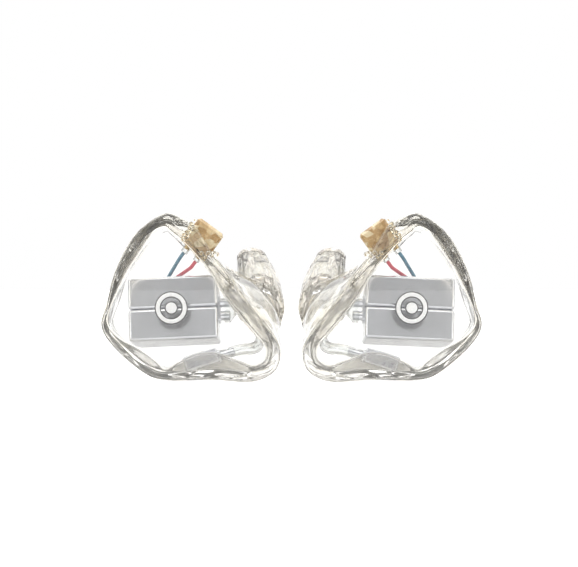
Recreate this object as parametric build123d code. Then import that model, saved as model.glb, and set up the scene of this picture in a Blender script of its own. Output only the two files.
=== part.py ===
from build123d import *

import math
import os

# A pair of custom-moulded in-ear monitors: clear hollow shells with three balanced-armature receivers each.
#
# Frame: +X towards the wearer's left, +Y into the head (away from the outer faces), +Z up.
# Each monitor is drawn as the right-hand one, in its own frame whose XZ plane is the seam between
# shell and faceplate. The left-hand one is its mirror image. The origin of the pair is its box's centre.
# All sizes are in millimetres.

# ---------------------------------------------------------------- driving dimensions
HALF_SPACING = 13.8  # from the pair's middle plane to each monitor's own origin
WALL = 0.8  # shell wall
FACEPLATE_THICKNESS = 1.1
FACEPLATE_EDGE = 0.45  # rounding of the faceplate's outer edge

# Shell outline at the seam, as (x, z), clockwise from the top corner.
RIM = [
    (-3.6, 11.3), (-1.3, 10.9), (0.8, 9.7), (2.8, 6.4), (5.3, 3.3), (7.6, -0.1), (10.3, -3.4),
    (12.0, -6.1), (12.3, -8.2), (11.2, -10.3), (8.1, -11.4), (3.0, -11.1), (-2.4, -11.2), (-5.7, -10.5),
    (-9.6, -7.4), (-11.9, -4.1), (-11.2, -0.7), (-9.9, 4.0), (-7.3, 8.6),
]
# The same outline deep in the shell, where it follows the bowl of the ear and widens into the canal.
BOWL = [
    (-3.4, 9.7), (-1.6, 8.6), (0.6, 7.2), (3.0, 5.4), (6.0, 3.4), (9.2, 2.0), (11.8, -0.6),
    (12.6, -4.0), (12.0, -7.2), (10.0, -9.2), (6.8, -9.8), (2.4, -9.7), (-1.9, -10.3), (-5.5, -9.8),
    (-9.3, -7.0), (-11.5, -3.9), (-10.8, -0.6), (-9.0, 4.0), (-6.6, 7.6),
]
BOWL_CENTRE = (0.5, -1.5)
# Stations from the seam to the bowl's floor: depth, share of BOWL in the outline, scale about BOWL_CENTRE.
CUP_STATIONS = [(0.0, 0.0, 1.0), (3.5, 0.3, 1.0), (7.0, 0.65, 1.0), (10.0, 0.9, 0.99), (12.0, 1.0, 0.92),
                (13.2, 1.0, 0.76), (13.6, 1.0, 0.5)]
# Ear canal stations: centre, pitch of the station's plane in degrees, half width, half height.
CANAL_STATIONS = [
    ((8.9, 9.3, -3.6), 8, 3.5, 4.6),
    ((9.3, 12.4, -2.0), 22, 3.3, 4.4),
    ((9.4, 15.0, 0.2), 36, 3.1, 3.7),
    ((8.9, 17.4, 2.6), 43, 2.7, 2.9),
    ((8.2, 20.2, 5.5), 46, 2.1, 2.0),
]
CANAL_HOLLOW = 3  # how many of the canal's stations are hollow; the rest is the solid tip

# Two-contact cable socket: a resin block set into the shell's top edge.
SOCKET_ANGLE = 54.0  # of the plug's axis above the horizontal
SOCKET_FACE = (3.0, 2.3, 9.7)  # centre of the face that the plug meets
SOCKET_WIDTH, SOCKET_DEPTH, SOCKET_LENGTH = 4.2, 2.7, 3.7
SOCKET_CHAMFER = 0.35
CONTACT_PITCH = 2.0
CONTACT_HOLE_RADIUS = 0.39
CONTACT_RADIUS = 0.6
CONTACT_HOLE_DEPTH = 3.2
TAIL_RADIUS, TAIL_LENGTH = 0.28, 0.9
SLEEVE_RADIUS, SLEEVE_LENGTH = 0.5, 1.5
WIRE_RADIUS = 0.25

# Receivers: a large stacked pair for the lows and a small one for the highs.
WOOFER = {"length": 12.2, "depth": 4.4, "height": 4.45, "wall": 0.25, "edge": 0.42}
WOOFER_GAP = 0.3  # between the two cans of the pair
WOOFER_PLACE = Location((-2.2, 4.25, -1.9), (-15, -1.5, -5))
TWEETER = {"length": 4.7, "depth": 2.2, "height": 2.0, "wall": 0.12, "edge": 0.2}
TWEETER_PLACE = Location((1.6, 1.75, -8.45), (-4, -17, -4))
CLEARANCE = 0.03  # between a piece and the pocket made for it

# Stub pipes on the receivers' ends: height across the stack, radius.
WOOFER_STUBS = [(0.95, 0.72), (-0.95, 0.66)]
TWEETER_STUBS = [(-0.25, 0.6)]
STUB_LENGTH, STUB_BORE, STUB_PLATE = 1.5, 0.6, 0.3
NIPPLE_LENGTH = 0.8

# Sound tubes: radii, length of the first run, and the points between it and the last run at the canal's tip.
WOOFER_TUBE = {"outer": 0.9, "inner": 0.6}
WOOFER_RUN = 0.95
WOOFER_ROUTE = [(8.0, 4.1, -1.65), (8.6, 6.2, -1.6), (8.4, 11.5, -0.9)]
TWEETER_TUBE = {"outer": 0.8, "inner": 0.5}
TWEETER_RUN = 1.7
TWEETER_ROUTE = [(9.0, 2.5, -6.9), (9.8, 6.3, -5.5), (10.2, 11.0, -2.8)]
TIP_OFFSETS = {"woofer": -0.92, "tweeter": 0.92}  # of each tube from the tip's middle
TIP_RUN = 5.0  # straight end of each route
BOOT_STRAIGHT, BOOT_TAPER, BOOT_WALL = 0.7, 0.9, 0.28
DAMPER_PLACE, DAMPER_LENGTH = 0.93, 0.9

# Board behind the large receivers, where the two wires end.
BOARD = (5.2, 0.5, 2.6)
BOARD_PLACE = (-1.0, 2.4)  # along the can, through the stack
PARTS_ON_BOARD = [(-1.6, 0.4, 1.0, 0.5), (1.5, 0.5, 1.2, 0.6)]  # along, through, length, width
PART_HEIGHT = 0.4

# Generic mark inlaid behind the faceplate: a ring with a dot.
MARK_CENTRE = (-2.5, -1.4)
MARK_RADIUS, MARK_RING, MARK_DOT, MARK_THICKNESS = 2.1, 0.55, 0.75, 0.12


# ---------------------------------------------------------------- outlines
def inset(points, distance):
    """The outline moved inwards by a distance, square to the line between each point's neighbours."""
    moved = []
    for i, (x, z) in enumerate(points):
        (x0, z0), (x1, z1) = points[i - 1], points[(i + 1) % len(points)]
        run = math.hypot(x1 - x0, z1 - z0)
        moved.append((x + distance * (z1 - z0) / run, z - distance * (x1 - x0) / run))
    return moved


def outline(share, scale, distance=0.0):
    """RIM turned into BOWL by a share, scaled about the bowl's centre, and inset."""
    cx, cz = BOWL_CENTRE
    points = []
    for (x0, z0), (x1, z1) in zip(RIM, BOWL):
        x, z = x0 + share * (x1 - x0), z0 + share * (z1 - z0)
        points.append((cx + scale * (x - cx), cz + scale * (z - cz)))
    return inset(points, distance) if distance else points


def level(points, y):
    """A face in the plane at depth y, inside the smooth closed curve through the points."""
    return Face(Wire([Edge.make_spline([Vector(x, y, z) for x, z in points], periodic=True)]))


def canal_level(station, distance=0.0):
    """An elliptical face across the canal."""
    (x, y, z), pitch, half_width, half_height = station
    along = math.radians(pitch)
    plane = Plane(origin=(x, y, z), x_dir=(1, 0, 0), z_dir=(0, math.cos(along), math.sin(along)))
    return plane * Ellipse(half_width - distance, half_height - distance).face()


# ---------------------------------------------------------------- shell and faceplate
def cup(distance=0.0):
    """The bowl-shaped body from the seam to the floor; with a distance, the space inside that wall."""
    faces = []
    for y, share, scale in CUP_STATIONS:
        depth = y - distance * (y / CUP_STATIONS[-1][0]) ** 2
        faces.append(level(outline(share, scale, distance), depth))
    return loft(faces)


def make_shell(cutters):
    """Hollow cup and canal, with pockets for the pieces that pass through its wall."""
    body = cup() + loft([canal_level(s) for s in CANAL_STATIONS])
    hollow = cup(WALL) + loft([canal_level(s, WALL) for s in CANAL_STATIONS[:CANAL_HOLLOW]])
    shell = body - hollow
    for cutter in cutters:
        shell -= cutter
    return shell.solids().sort_by(SortBy.VOLUME)[-1]


def make_faceplate():
    """Flat plate over the shell's open side, with its outer edge rounded."""
    plate = extrude(level(RIM, 0), amount=FACEPLATE_THICKNESS, dir=(0, -1, 0))
    front = plate.edges().filter_by_position(Axis.Y, -FACEPLATE_THICKNESS - 0.01, -FACEPLATE_THICKNESS + 0.01)
    return fillet(front, FACEPLATE_EDGE)


def make_mark():
    """A ring and a dot, on the faceplate's inner side."""
    x, z = MARK_CENTRE
    plane = Plane(origin=(x, 0, z), z_dir=(0, 1, 0))
    ring = plane * (Circle(MARK_RADIUS) - Circle(MARK_RADIUS - MARK_RING))
    dot = plane * Circle(MARK_DOT)
    return Compound([extrude(ring, MARK_THICKNESS).solid(), extrude(dot, MARK_THICKNESS).solid()])


# ---------------------------------------------------------------- cable socket
def socket_plane():
    """Frame of the socket: Z out along the plug's axis, X along the row of contacts."""
    angle = math.radians(SOCKET_ANGLE)
    out = (math.cos(angle), 0, math.sin(angle))
    return Plane(origin=SOCKET_FACE, x_dir=(math.sin(angle), 0, -math.cos(angle)), z_dir=out)


def contact_places():
    return [-CONTACT_PITCH / 2, CONTACT_PITCH / 2]


def socket_blank(extra=0.0):
    """The block before its holes are made."""
    block = Box(SOCKET_WIDTH + 2 * extra, SOCKET_DEPTH + 2 * extra, SOCKET_LENGTH + extra,
                align=(Align.CENTER, Align.CENTER, Align.MAX))
    return block if extra else chamfer(block.edges(), SOCKET_CHAMFER)


def make_socket():
    """The resin block, its two contacts and the sleeves on their solder tails, in the socket's frame."""
    down = (Align.CENTER, Align.CENTER, Align.MAX)
    block, contacts, sleeves = socket_blank(), [], []
    for x in contact_places():
        here = Location((x, 0, 0))
        block -= here * Cylinder(CONTACT_RADIUS, SOCKET_LENGTH, align=down)
        barrel = here * Cylinder(CONTACT_RADIUS, SOCKET_LENGTH, align=down)
        barrel -= here * Cylinder(CONTACT_HOLE_RADIUS, CONTACT_HOLE_DEPTH, align=down)
        tail = Location((x, 0, -SOCKET_LENGTH)) * Cylinder(TAIL_RADIUS, TAIL_LENGTH, align=down)
        contacts.append((barrel + tail).solid())
        sleeve = Location((x, 0, -SOCKET_LENGTH)) * Cylinder(SLEEVE_RADIUS, SLEEVE_LENGTH, align=down)
        bore = Location((x, 0, -SOCKET_LENGTH)) * Cylinder(TAIL_RADIUS, SLEEVE_LENGTH, align=down)
        sleeves.append((sleeve - bore).solid())
    plane = socket_plane()
    return plane * block, Compound([plane * c for c in contacts]), Compound([plane * s for s in sleeves])


# ---------------------------------------------------------------- receivers
class Receiver:
    """One balanced-armature receiver, drawn with X along the can and Z from its cover to its floor.

    offset is how far its cover is from the stack's middle plane. side is +1 for a can that stands above
    that plane and -1 for one that hangs below it.
    """

    def __init__(self, sizes, side, offset, place):
        self.length, self.depth, self.height = sizes["length"], sizes["depth"], sizes["height"]
        self.wall, self.edge = sizes["wall"], sizes["edge"]
        self.side, self.offset, self.location = side, offset, place
        self.reed_half = 0.03 * self.height
        self.air_gap = 0.035 * self.height
        self.reed_width = 0.34 * self.depth
        self.root = -self.length / 2 + 2.4 * self.wall
        self.tip = self.length / 2 - 3.2 * self.wall
        self.middle = 0.58 * self.height  # height of the reed's middle
        self.paddle_height = 2.4 * self.wall
        self.paddle_half = 0.012 * self.height
        self.pin_radius = 0.02 * self.height
        self.motor_half = 0.24 * self.height
        self.motor_width = 0.74 * self.depth

    def settle(self, shape):
        """Moves a piece from the drawn can to its place in the monitor."""
        shape = Location((0, 0, self.offset)) * shape
        if self.side < 0:
            shape = mirror(shape, about=Plane.XY)
        return self.location * shape

    def block(self, x0, x1, width, z0, z1):
        """A box between two places along the can and two heights, centred across it."""
        return Location(((x0 + x1) / 2, 0, (z0 + z1) / 2)) * Box(x1 - x0, width, z1 - z0)

    def can(self, port_height, port_radius):
        """Drawn cup, open towards its cover, with a round sound port in its end."""
        outer = self.block(-self.length / 2, self.length / 2, self.depth, self.wall, self.height)
        rounded = outer.edges().filter_by(Axis.Z) + outer.edges().group_by(Axis.Z)[-1]
        outer = fillet(rounded, self.edge)
        inner = self.block(-self.length / 2 + self.wall, self.length / 2 - self.wall,
                           self.depth - 2 * self.wall, 0, self.height - self.wall)
        port = Location((self.length / 2, 0, port_height), (0, 90, 0)) * Cylinder(port_radius, 4 * self.wall)
        return self.settle((outer - inner - port).solid())

    def cover(self):
        """Flat lid welded on the cup."""
        lid = self.block(-self.length / 2, self.length / 2, self.depth, 0, self.wall)
        lid = fillet(lid.edges().filter_by(Axis.Z), self.edge)
        return self.settle(fillet(lid.edges().group_by(Axis.Z)[0], 0.6 * self.wall).solid())

    def coil(self):
        """Flat ring of wire round the reed, next to its root."""
        x0 = self.root + 0.06 * self.length
        x1 = x0 + 0.3 * self.length
        ring = self.block(x0, x1, self.motor_width, self.middle - self.motor_half, self.middle + self.motor_half)
        half = self.reed_half + self.air_gap
        window = self.block(x0 - 1, x1 + 1, self.reed_width + 3 * self.air_gap, self.middle - half,
                            self.middle + half)
        return self.settle((ring - window).solid())

    def magnets(self):
        """Square yoke round the reed with a magnet above it and one below it."""
        x0 = self.root + 0.4 * self.length
        x1 = x0 + 0.26 * self.length
        z0, z1 = self.middle - self.motor_half, self.middle + self.motor_half
        half = self.reed_half + self.air_gap
        yoke_wall = 0.3 * self.motor_half
        width = self.motor_width - 2 * yoke_wall
        yoke = self.block(x0, x1, self.motor_width, z0, z1)
        yoke -= self.block(x0 - 1, x1 + 1, width, z0 + yoke_wall, z1 - yoke_wall)
        far = self.block(x0, x1, width, self.middle + half, z1 - yoke_wall)
        near = self.block(x0, x1, width, z0 + yoke_wall, self.middle - half)
        return [self.settle(piece.solid()) for piece in (yoke, far, near)]

    def reed(self):
        """Flat armature with the drive pin that reaches to the diaphragm."""
        strip = self.block(self.root, self.tip, self.reed_width, self.middle - self.reed_half,
                           self.middle + self.reed_half)
        end = self.paddle_height + self.paddle_half + 0.4 * self.air_gap
        pin = Location((self.tip - 4 * self.pin_radius, 0, end)) * Cylinder(
            self.pin_radius, self.middle - end, align=(Align.CENTER, Align.CENTER, Align.MIN))
        return self.settle((strip + pin).solid())

    def diaphragm(self):
        """Thin paddle that the drive pin moves, hinged at the reed's root end."""
        width = self.depth - 2 * self.wall - 6 * self.air_gap
        paddle = self.block(self.root, self.tip, width, self.paddle_height - self.paddle_half,
                            self.paddle_height + self.paddle_half)
        return self.settle(paddle.solid())


def end_plane(sizes, out, across=0.0):
    """Plane square to a can's length, a distance out from its end; its X runs through the stack."""
    return Plane(origin=(sizes["length"] / 2 + out, 0, across), x_dir=(0, 0, 1), z_dir=(1, 0, 0))


def make_spouts(sizes, stubs, place, nipple=0.0):
    """End plate with its stub pipes, and with a nipple on each where one is asked for."""
    reach = max(radius for _, radius in stubs) + 0.2
    middle = sum(height for height, _ in stubs) / len(stubs)
    spread = max(height for height, _ in stubs) - min(height for height, _ in stubs)
    base_face = end_plane(sizes, 0, middle) * Rectangle(spread + 2 * reach, 2 * reach)
    base = extrude(base_face, STUB_PLATE)
    base = fillet(base.edges().filter_by(Axis.X), 0.45 * reach)
    for height, radius in stubs:
        base += extrude(end_plane(sizes, 0, height) * Circle(radius), STUB_LENGTH)
        if nipple:
            base += extrude(end_plane(sizes, 0, height) * Circle(nipple), STUB_LENGTH + NIPPLE_LENGTH)
    for height, radius in stubs:
        bore = 0.65 * (nipple if nipple else radius)
        base -= extrude(end_plane(sizes, 0, height) * Circle(bore), STUB_LENGTH + NIPPLE_LENGTH)
    return place * base.solid()


def make_boot():
    """Clear manifold that takes the large receivers' two stubs and narrows to one tube."""
    start = STUB_LENGTH - BOOT_STRAIGHT
    reach = 2 * (max(h + r for h, r in WOOFER_STUBS) + CLEARANCE)
    across = 2 * (max(r for _, r in WOOFER_STUBS) + CLEARANCE)
    grow = 2 * BOOT_WALL

    def skin(extra, radius):
        mouth = extrude(end_plane(WOOFER, start) * SlotOverall(reach + extra, across + extra), BOOT_STRAIGHT)
        throat = end_plane(WOOFER, STUB_LENGTH) * SlotOverall(reach + extra, across + extra)
        end = end_plane(WOOFER, STUB_LENGTH + BOOT_TAPER) * Circle(radius)
        return mouth + loft([throat.face(), end.face()])

    boot = skin(grow, WOOFER_TUBE["outer"]) - skin(0, WOOFER_TUBE["inner"])
    return WOOFER_PLACE * boot.solid()


def make_board():
    """Terminal board on the large receivers' back, with two small parts on it."""
    length, thick, tall = BOARD
    x, z = BOARD_PLACE
    back = WOOFER["depth"] / 2
    align = (Align.CENTER, Align.MIN, Align.CENTER)
    pieces = [Location((x, back, z)) * Box(length, thick, tall, align=align)]
    for along, through, part_length, part_width in PARTS_ON_BOARD:
        here = Location((x + along, back + thick, z + through))
        pieces.append(here * Box(part_length, PART_HEIGHT, part_width, align=align))
    return Compound([WOOFER_PLACE * piece.solid() for piece in pieces])


# ---------------------------------------------------------------- tubes and wires
def route(points, beyond=0.0, share=0.45):
    """Straight runs joined by tangent arcs, each as large as its two runs allow.

    The last run is then drawn out by the length beyond.
    """
    vectors = [Vector(*p) for p in points]
    radii = []
    for a, b, c in zip(vectors, vectors[1:], vectors[2:]):
        turn = math.radians((b - a).get_angle(c - b))
        radii.append(share * min((b - a).length, (c - b).length) / math.tan(turn / 2))
    last = vectors[-1] + beyond * (vectors[-1] - vectors[-2]).normalized()
    return FilletPolyline(*vectors[:-1], last, radius=radii)


def rod(path, radius):
    """A round bar along a path."""
    start = Plane(origin=path @ 0, z_dir=path % 0)
    return sweep(start * Circle(radius), path)


def pipe(path, outer, inner):
    return (rod(path, outer) - rod(path, inner)).solid()


def damper(path, radius):
    """A short cup with a mesh disc, pressed into a tube near its end."""
    here = Plane(origin=path @ DAMPER_PLACE, z_dir=path % DAMPER_PLACE)
    cup_wall = 0.2 * radius
    ring = Cylinder(radius, DAMPER_LENGTH) - Cylinder(radius - cup_wall, DAMPER_LENGTH)
    return here * (ring + Cylinder(radius - 0.5 * cup_wall, cup_wall)).solid()


def tube_path(start, first_run, middle_points, offset, beyond=0.0):
    """Route of a sound tube, out along the X of its start, then to the canal's tip, which it meets squarely."""
    (x, y, z), pitch, _, _ = CANAL_STATIONS[-1]
    along = math.radians(pitch)
    tip = Vector(x + offset, y, z)
    before = tip - TIP_RUN * Vector(0, math.cos(along), math.sin(along))
    leaves = [start.position, (start * Location((first_run, 0, 0))).position]
    return route([*map(tuple, leaves), *middle_points, tuple(before), tuple(tip)], beyond)


def board_point(along, through, out):
    """A place on or behind the terminal board, in the monitor's frame."""
    x, z = BOARD_PLACE
    return (WOOFER_PLACE * Location((x + along, WOOFER["depth"] / 2 + BOARD[1] + out, z + through))).position


def make_wire(contact_x, along, through):
    """Insulated wire from a contact's tail, over the top of the large receivers, to the board."""
    plane = socket_plane()
    start = plane.from_local_coords(Vector(contact_x, 0, -SOCKET_LENGTH - SLEEVE_LENGTH))
    below = plane.from_local_coords(Vector(contact_x, 0.3, -SOCKET_LENGTH - SLEEVE_LENGTH - 1.0))
    over = board_point(along, 3.1, 1.3)
    behind = board_point(along, through + 0.6, 1.1)
    end = board_point(along, through, 0.0)
    return rod(route([tuple(start), tuple(below), tuple(over), tuple(behind), tuple(end)]), WIRE_RADIUS).solid()


# ---------------------------------------------------------------- one monitor
def make_monitor():
    """Every piece of the right-hand monitor, by name, in the monitor's own frame."""
    pieces = {}
    block, contacts, sleeves = make_socket()
    pieces["socket_block"] = block
    pieces["socket_contacts"] = contacts
    pieces["wire_sleeves"] = sleeves
    pieces["wire_red"] = make_wire(CONTACT_PITCH / 2, 0.4, 0.0)
    pieces["wire_blue"] = make_wire(-CONTACT_PITCH / 2, -0.5, 0.0)

    cans = {"upper": Receiver(WOOFER, 1, WOOFER_GAP / 2, WOOFER_PLACE),
            "lower": Receiver(WOOFER, -1, WOOFER_GAP / 2, WOOFER_PLACE)}
    for (name, can), (height, radius) in zip(cans.items(), WOOFER_STUBS):
        pieces["woofer_case_" + name] = can.can(abs(height) - WOOFER_GAP / 2, 0.6 * radius)
        pieces["woofer_cover_" + name] = can.cover()
        pieces["woofer_reed_" + name] = can.reed()
        pieces["woofer_diaphragm_" + name] = can.diaphragm()
    pieces["woofer_coils"] = Compound([can.coil() for can in cans.values()])
    pieces["woofer_magnets"] = Compound([piece for can in cans.values() for piece in can.magnets()])
    pieces["woofer_spouts"] = make_spouts(WOOFER, WOOFER_STUBS, WOOFER_PLACE)
    pieces["woofer_boot"] = make_boot()

    small = Receiver(TWEETER, -1, -TWEETER["height"] / 2, TWEETER_PLACE)
    pieces["tweeter_case"] = small.can(TWEETER["height"] / 2 - TWEETER_STUBS[0][0], 0.3)
    pieces["tweeter_cover"] = small.cover()
    pieces["tweeter_motor"] = Compound([small.coil(), *small.magnets()])
    pieces["tweeter_reed"] = small.reed()
    pieces["tweeter_diaphragm"] = small.diaphragm()
    pieces["tweeter_spout"] = make_spouts(TWEETER, TWEETER_STUBS, TWEETER_PLACE, TWEETER_TUBE["inner"])

    woofer_start = WOOFER_PLACE * Location((WOOFER["length"] / 2 + STUB_LENGTH + BOOT_TAPER, 0, 0))
    tweeter_start = TWEETER_PLACE * Location((TWEETER["length"] / 2 + STUB_LENGTH, 0, TWEETER_STUBS[0][0]))
    runs = {"woofer": (woofer_start, WOOFER_RUN, WOOFER_ROUTE, TIP_OFFSETS["woofer"]),
            "tweeter": (tweeter_start, TWEETER_RUN, TWEETER_ROUTE, TIP_OFFSETS["tweeter"])}
    sizes = {"woofer": WOOFER_TUBE, "tweeter": TWEETER_TUBE}
    dampers, cutters = [], [socket_plane() * socket_blank(CLEARANCE)]
    for name, run in runs.items():
        path = tube_path(*run)
        pieces[name + "_tube"] = pipe(path, sizes[name]["outer"], sizes[name]["inner"])
        dampers.append(damper(path, sizes[name]["inner"]))
        cutters.append(rod(tube_path(*run, beyond=1.0), sizes[name]["outer"]))
    pieces["tube_dampers"] = Compound(dampers)
    pieces["terminal_board"] = make_board()
    pieces["shell"] = make_shell(cutters)
    pieces["faceplate"] = make_faceplate()
    pieces["faceplate_badge"] = make_mark()
    return pieces


def make_pair():
    """Both monitors in the pair's frame, and the shift that puts its origin at the middle of its box."""
    pieces = {}
    for name, shape in make_monitor().items():
        right = Location((-HALF_SPACING, 0, 0)) * shape
        pieces["right_" + name] = right
        pieces["left_" + name] = mirror(right, about=Plane.YZ)
    box = Compound([pieces["right_shell"], pieces["right_faceplate"], pieces["right_socket_block"]])
    box = box.bounding_box(optimal=True)
    shift = Vector(0, -(box.min.Y + box.max.Y) / 2, -(box.min.Z + box.max.Z) / 2)
    return {name: Location(shift) * shape for name, shape in pieces.items()}, shift


def main():
    os.makedirs("parts", exist_ok=True)
    pieces, shift = make_pair()
    for name, shape in pieces.items():
        export_step(shape, os.path.join("parts", name + ".step"))
    print(len(pieces), "sub-parts, moved by", tuple(round(v, 4) for v in shift))


if __name__ == "__main__":
    main()
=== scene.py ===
"""Looks of a pair of clear custom-moulded in-ear monitors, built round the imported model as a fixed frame.

Each monitor is worked out as the right-hand one, in millimetres, with X towards the wearer's left, Y into the
head and Z up, and with Y = 0 at the seam between faceplate and shell. The left-hand one is its mirror image.
"""

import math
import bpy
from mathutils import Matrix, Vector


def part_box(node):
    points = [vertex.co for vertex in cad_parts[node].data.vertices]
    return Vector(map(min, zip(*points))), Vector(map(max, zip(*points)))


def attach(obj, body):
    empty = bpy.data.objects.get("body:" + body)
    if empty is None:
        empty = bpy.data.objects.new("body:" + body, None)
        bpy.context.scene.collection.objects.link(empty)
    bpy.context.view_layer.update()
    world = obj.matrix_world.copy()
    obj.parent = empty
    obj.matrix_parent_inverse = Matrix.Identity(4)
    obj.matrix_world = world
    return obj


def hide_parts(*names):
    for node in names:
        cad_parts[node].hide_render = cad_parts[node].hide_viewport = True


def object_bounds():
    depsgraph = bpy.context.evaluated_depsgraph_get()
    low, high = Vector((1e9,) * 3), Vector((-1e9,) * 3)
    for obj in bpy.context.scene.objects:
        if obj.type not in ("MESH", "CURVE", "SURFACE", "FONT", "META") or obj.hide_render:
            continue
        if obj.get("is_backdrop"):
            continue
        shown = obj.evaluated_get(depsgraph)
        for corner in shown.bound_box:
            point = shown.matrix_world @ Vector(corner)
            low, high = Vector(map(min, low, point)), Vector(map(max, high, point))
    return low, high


bl_info = {
    "name": "Custom in-ear monitors",
    "version": (1, 0, 0),
    "blender": (4, 5, 0),
    "location": "View3D > Sidebar > Monitors",
    "description": "Clear moulded housings, receivers, tubes and sockets of a pair of in-ear monitors",
    "category": "Object",
}

import bpy
import numpy as np

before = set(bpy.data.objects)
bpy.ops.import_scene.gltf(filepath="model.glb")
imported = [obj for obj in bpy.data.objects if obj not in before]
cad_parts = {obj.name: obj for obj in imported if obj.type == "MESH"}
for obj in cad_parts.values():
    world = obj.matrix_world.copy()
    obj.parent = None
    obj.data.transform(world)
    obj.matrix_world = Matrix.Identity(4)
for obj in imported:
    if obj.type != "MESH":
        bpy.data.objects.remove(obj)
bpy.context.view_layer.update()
MM = 0.001
SIDES = {"right": 1.0, "left": -1.0}
AROUND = 288  # points in each closed outline

# Outline at the seam, as (x, z), clockwise from the top corner, and the point that it is measured from.
RIM = [
    (-3.6, 11.3), (-1.3, 10.9), (0.8, 9.7), (2.8, 6.4), (5.3, 3.3), (7.6, -0.1), (10.3, -3.4),
    (12.0, -6.1), (12.3, -8.2), (11.2, -10.3), (8.1, -11.4), (3.0, -11.1), (-2.4, -11.2), (-5.7, -10.5),
    (-9.6, -7.4), (-11.9, -4.1), (-11.2, -0.7), (-9.9, 4.0), (-7.3, 8.6),
]
# Outline deep in the shell.
BOWL = [
    (-3.4, 9.7), (-1.6, 8.6), (0.6, 7.2), (3.0, 5.4), (6.0, 3.4), (9.2, 2.0), (11.8, -0.6),
    (12.6, -4.0), (12.0, -7.2), (10.0, -9.2), (6.8, -9.8), (2.4, -9.7), (-1.9, -10.3), (-5.5, -9.8),
    (-9.3, -7.0), (-11.5, -3.9), (-10.8, -0.6), (-9.0, 4.0), (-6.6, 7.6),
]
# Inner edge of the thick rim, where the wall meets the faceplate: it swells and thins.
WINDOW = [
    (-3.5, 9.7), (-2.4, 9.0), (-0.6, 7.5), (1.2, 5.6), (3.3, 3.0), (4.8, 0.5), (6.5, -1.8), (9.1, -4.9),
    (10.4, -6.5), (10.4, -8.3), (8.8, -9.4), (6.6, -8.8), (3.6, -7.7), (1.3, -7.8), (-1.2, -8.8),
    (-3.3, -9.9), (-4.8, -8.7), (-7.0, -7.1), (-9.6, -5.6), (-11.1, -3.9), (-11.1, -1.8), (-9.0, 3.0),
    (-7.1, 6.0), (-5.2, 8.8),
]
CENTRE = (0.3, -1.8)
# Canal stations: centre, pitch of the station's plane in degrees, half width, half height.
CANAL = [
    ((9.3, 13.3, -2.2), 20, 3.4, 4.6), ((9.4, 15.0, 0.2), 34, 3.05, 3.75), ((8.95, 17.3, 2.55), 43, 2.7, 2.95),
    ((8.2, 20.0, 5.35), 46, 2.15, 2.1),
]
# Place of the large receivers' stack and of the small receiver: centre, then turns about X, Y and Z.
WOOFER_PLACE = ((-2.2, 4.25, -1.9), (-15, -1.5, -5))
WOOFER_SIZE = (12.2, 4.4, 4.45)
TWEETER_PLACE = ((1.6, 1.75, -8.45), (-4, -17, -4))
TWEETER_SIZE = (4.7, 2.2, 2.0)
SOCKET_FACE = (3.0, 2.3, 9.7)
SOCKET_ANGLE = 54.0
BADGE_CENTRE = (-2.5, -1.4)
TIP_LIP = 0.5  # radius of the lip at the canal's tip
HOLLOW_EDGE = 0.35  # rounding of the hollow behind the faceplate
STACK_GAP = 0.04  # between the two large cans
CORNER_POINTS = 9  # in each corner arc of a can's section
BESIDE = 0.06  # from the end of a corner arc to the point on the flat beside it
BOARD_MIDDLE = (-1.0, 0.5, 2.4)  # along the stack, out from its back, and up it
SOLDER_PADS = (0.4, -0.5)  # along the board
# Resin bead round the socket: half width, half thickness, power of its rounded outline, and depth below the face.
BEAD_HALF = (2.2, 1.45)
BEAD_POWER = 2.0 / 5.0
BEAD_DEPTH = 2.35
# Rows of resin droplets: how many, and their ends as (across the socket, out from its face).
DROPLET_ROWS = ((10, (-2.35, -1.0), (-2.0, -3.6)), (5, (1.2, -4.0), (2.7, -2.9)))
FLOOR_RINGS, FLOOR_SPOKES = 12, 64
CAMERA_SHIFT = (-0.00034, 0.0019)  # sideways and up from the pair's middle, in metres
SENSOR_WIDTH = 36.0


# ---------------------------------------------------------------- node trees
class Value:
    """A node's output that does arithmetic: each expression on it adds a Math node."""

    def __init__(self, finish, socket):
        self.finish = finish
        self.socket = socket

    def math(self, operation, *others):
        return self.finish.add("ShaderNodeMath", {"operation": operation}, [self, *others])

    def __add__(self, other):
        return self.math("ADD", other)

    def __radd__(self, other):
        return self.math("ADD", other)

    def __sub__(self, other):
        return self.math("SUBTRACT", other)

    def __rsub__(self, other):
        return self.finish.add("ShaderNodeMath", {"operation": "SUBTRACT"}, [other, self])

    def __mul__(self, other):
        return self.math("MULTIPLY", other)

    def __rmul__(self, other):
        return self.math("MULTIPLY", other)

    def step(self, low, high):
        """Rises smoothly from 0 at low to 1 at high."""
        settings = {"interpolation_type": "SMOOTHSTEP"}
        return self.finish.add("ShaderNodeMapRange", settings, {"Value": self, "From Min": low, "From Max": high})


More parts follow.
